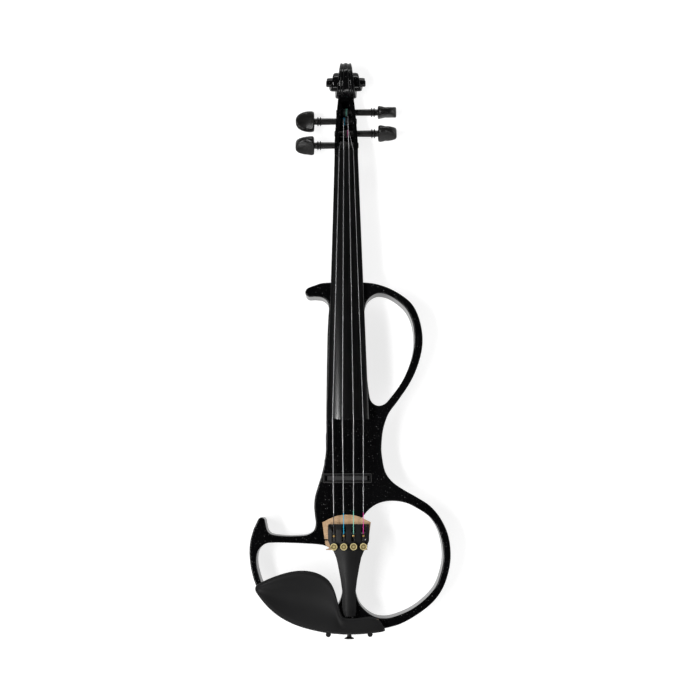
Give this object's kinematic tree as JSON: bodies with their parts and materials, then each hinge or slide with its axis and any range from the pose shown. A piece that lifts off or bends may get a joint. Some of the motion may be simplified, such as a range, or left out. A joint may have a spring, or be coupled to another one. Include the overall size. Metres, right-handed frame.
{
  "type": "electric violin",
  "caption": "Solid-body electric violin with an open looped frame, scroll, fine tuners, chinrest, pickup bar and electronics in its back, lying on its back.",
  "frame": {"origin": "under the middle of the whole violin, on the surface that it lies on", "axes": "+Y along the strings to the scroll, +X to the treble side, +Z out of the front"},
  "size_m": [0.2008, 0.591, 0.065],
  "materials": {
    "black_gloss_lacquer": "high-gloss black lacquer with fine pale sparkle over wood",
    "black_fingerboard": "satin black hardwood",
    "black_satin_wood": "matte black-stained hardwood",
    "black_matte_plastic": "matte black moulded plastic",
    "black_nylon": "black nylon cord",
    "maple": "unvarnished flecked maple",
    "string_steel": "flat-wound string metal",
    "polished_steel": "plated steel",
    "gold_metal": "polished gold plating, knurled",
    "chrome_metal": "polished chrome plating",
    "cork": "natural cork sheet",
    "green_board": "coated circuit board",
    "battery_case": "plain painted steel jacket",
    "silk_g": "black silk wrap",
    "silk_d": "blue silk wrap",
    "silk_a": "green silk wrap",
    "silk_e": "pink silk wrap"
  },
  "bodies": {
    "violin": {"body": "black_gloss_lacquer", "neck_and_scroll": "black_gloss_lacquer", "fingerboard": "black_fingerboard", "nut": "black_satin_wood", "saddle": "black_satin_wood", "end_button": "black_satin_wood", "tail_gut": "black_nylon", "tailpiece": "black_matte_plastic", "tuner_axle": "polished_steel", "string_g": "string_steel", "string_d": "string_steel", "string_a": "string_steel", "string_e": "string_steel", "bridge": "maple", "pickup_frame": "black_matte_plastic", "pickup_pad": "black_matte_plastic", "chinrest": "black_satin_wood", "chinrest_cork_left": "cork", "chinrest_cork_right": "cork", "clamp_stud_left": "chrome_metal", "clamp_stud_right": "chrome_metal", "control_cover": "black_matte_plastic", "volume_pot": "polished_steel", "tone_pot": "polished_steel", "preamp_board": "green_board", "output_jack": "chrome_metal", "headphone_jack": "chrome_metal", "battery": "battery_case"},
    "peg_g_body": {"peg_g": "black_satin_wood", "winding_g": "silk_g"},
    "peg_d_body": {"peg_d": "black_satin_wood", "winding_d": "silk_d"},
    "peg_a_body": {"peg_a": "black_satin_wood", "winding_a": "silk_a"},
    "peg_e_body": {"peg_e": "black_satin_wood", "winding_e": "silk_e"},
    "screw_g": {"tuner_screw_g": "gold_metal"},
    "knob_g": {"tuner_knob_g": "gold_metal"},
    "lever_g": {"tuner_lever_g": "polished_steel", "string_ball_g": "gold_metal"},
    "screw_d": {"tuner_screw_d": "gold_metal"},
    "knob_d": {"tuner_knob_d": "gold_metal"},
    "lever_d": {"tuner_lever_d": "polished_steel", "string_ball_d": "gold_metal"},
    "screw_a": {"tuner_screw_a": "gold_metal"},
    "knob_a": {"tuner_knob_a": "gold_metal"},
    "lever_a": {"tuner_lever_a": "polished_steel", "string_ball_a": "gold_metal"},
    "screw_e": {"tuner_screw_e": "gold_metal"},
    "knob_e": {"tuner_knob_e": "gold_metal"},
    "lever_e": {"tuner_lever_e": "polished_steel", "string_ball_e": "gold_metal"},
    "barrel_left": {"clamp_barrel_left": "chrome_metal"},
    "barrel_right": {"clamp_barrel_right": "chrome_metal"},
    "foot": {"clamp_foot": "chrome_metal", "clamp_foot_cork": "cork"},
    "volume_dial": {"volume_knob": "black_matte_plastic"},
    "tone_dial": {"tone_knob": "black_matte_plastic"},
    "slider": {"power_switch": "black_matte_plastic"},
    "door": {"battery_door": "black_matte_plastic"}
  },
  "joints": [
    {"name": "peg_g_turn", "type": "hinge", "parent": "violin", "child": "peg_g_body", "pos_m": [-0.00131, 0.20785, 0.02529], "axis": [1, 0, 0], "continuous": true},
    {"name": "peg_d_turn", "type": "hinge", "parent": "violin", "child": "peg_d_body", "pos_m": [-0.00131, 0.23525, 0.017], "axis": [1, 0, 0], "continuous": true},
    {"name": "peg_a_turn", "type": "hinge", "parent": "violin", "child": "peg_a_body", "pos_m": [-0.00131, 0.24535, 0.0142], "axis": [1, 0, 0], "continuous": true},
    {"name": "peg_e_turn", "type": "hinge", "parent": "violin", "child": "peg_e_body", "pos_m": [-0.00131, 0.22125, 0.02059], "axis": [1, 0, 0], "continuous": true},
    {"name": "tuner_g_drive", "type": "slide", "parent": "violin", "child": "screw_g", "axis": [0, 0, -1], "range_m": [0, 0.0027]},
    {"name": "tuner_g_turn", "type": "hinge", "parent": "screw_g", "child": "knob_g", "pos_m": [-0.01591, -0.20225, 0.059], "axis": [0, 0, -1], "range_deg": [0, 1944]},
    {"name": "tuner_g_rock", "type": "hinge", "parent": "violin", "child": "lever_g", "pos_m": [-0.01591, -0.18955, 0.05], "axis": [1, 0, 0], "range_deg": [0, 12.4]},
    {"name": "tuner_d_drive", "type": "slide", "parent": "violin", "child": "screw_d", "axis": [0, 0, -1], "range_m": [0, 0.0027]},
    {"name": "tuner_d_turn", "type": "hinge", "parent": "screw_d", "child": "knob_d", "pos_m": [-0.00613, -0.20225, 0.059], "axis": [0, 0, -1], "range_deg": [0, 1944]},
    {"name": "tuner_d_rock", "type": "hinge", "parent": "violin", "child": "lever_d", "pos_m": [-0.00613, -0.18955, 0.05], "axis": [1, 0, 0], "range_deg": [0, 12.4]},
    {"name": "tuner_a_drive", "type": "slide", "parent": "violin", "child": "screw_a", "axis": [0, 0, -1], "range_m": [0, 0.0027]},
    {"name": "tuner_a_turn", "type": "hinge", "parent": "screw_a", "child": "knob_a", "pos_m": [0.00351, -0.20225, 0.059], "axis": [0, 0, -1], "range_deg": [0, 1944]},
    {"name": "tuner_a_rock", "type": "hinge", "parent": "violin", "child": "lever_a", "pos_m": [0.00351, -0.18955, 0.05], "axis": [1, 0, 0], "range_deg": [0, 12.4]},
    {"name": "tuner_e_drive", "type": "slide", "parent": "violin", "child": "screw_e", "axis": [0, 0, -1], "range_m": [0, 0.0027]},
    {"name": "tuner_e_turn", "type": "hinge", "parent": "screw_e", "child": "knob_e", "pos_m": [0.01329, -0.20225, 0.059], "axis": [0, 0, -1], "range_deg": [0, 1944]},
    {"name": "tuner_e_rock", "type": "hinge", "parent": "violin", "child": "lever_e", "pos_m": [0.01329, -0.18955, 0.05], "axis": [1, 0, 0], "range_deg": [0, 12.4]},
    {"name": "clamp_left_turn", "type": "hinge", "parent": "violin", "child": "barrel_left", "pos_m": [-0.02181, -0.28785, 0.0275], "axis": [0, 0, 1], "range_deg": [0, 1800]},
    {"name": "clamp_right_turn", "type": "hinge", "parent": "violin", "child": "barrel_right", "pos_m": [0.01919, -0.28785, 0.0275], "axis": [0, 0, 1], "range_deg": [0, 1800]},
    {"name": "clamp_open", "type": "slide", "parent": "violin", "child": "foot", "axis": [0, 0, -1], "range_m": [0, 0.005]},
    {"name": "volume_turn", "type": "hinge", "parent": "violin", "child": "volume_dial", "pos_m": [0.01369, -0.10095, 0.006], "axis": [0, 0, -1], "range_deg": [0, 280]},
    {"name": "tone_turn", "type": "hinge", "parent": "violin", "child": "tone_dial", "pos_m": [0.01369, -0.13095, 0.006], "axis": [0, 0, -1], "range_deg": [0, 280]},
    {"name": "power_slide", "type": "slide", "parent": "violin", "child": "slider", "axis": [0, 1, 0], "range_m": [0, 0.003]},
    {"name": "battery_door_swing", "type": "hinge", "parent": "violin", "child": "door", "pos_m": [-0.00331, -0.0718, 0.0103], "axis": [-1, 0, 0], "range_deg": [0, 100]}
  ],
  "couplings": [
    {"joint": "tuner_g_drive", "follows": "tuner_g_turn", "m_per_rad": 0.000079577},
    {"joint": "tuner_g_rock", "follows": "tuner_g_turn", "ratio": 0.0063785},
    {"joint": "tuner_d_drive", "follows": "tuner_d_turn", "m_per_rad": 0.000079577},
    {"joint": "tuner_d_rock", "follows": "tuner_d_turn", "ratio": 0.0063785},
    {"joint": "tuner_a_drive", "follows": "tuner_a_turn", "m_per_rad": 0.000079577},
    {"joint": "tuner_a_rock", "follows": "tuner_a_turn", "ratio": 0.0063785},
    {"joint": "tuner_e_drive", "follows": "tuner_e_turn", "m_per_rad": 0.000079577},
    {"joint": "tuner_e_rock", "follows": "tuner_e_turn", "ratio": 0.0063785},
    {"joint": "clamp_left_turn", "follows": "clamp_open", "rad_per_m": 6283.1},
    {"joint": "clamp_right_turn", "follows": "clamp_open", "rad_per_m": 6283.1}
  ]
}
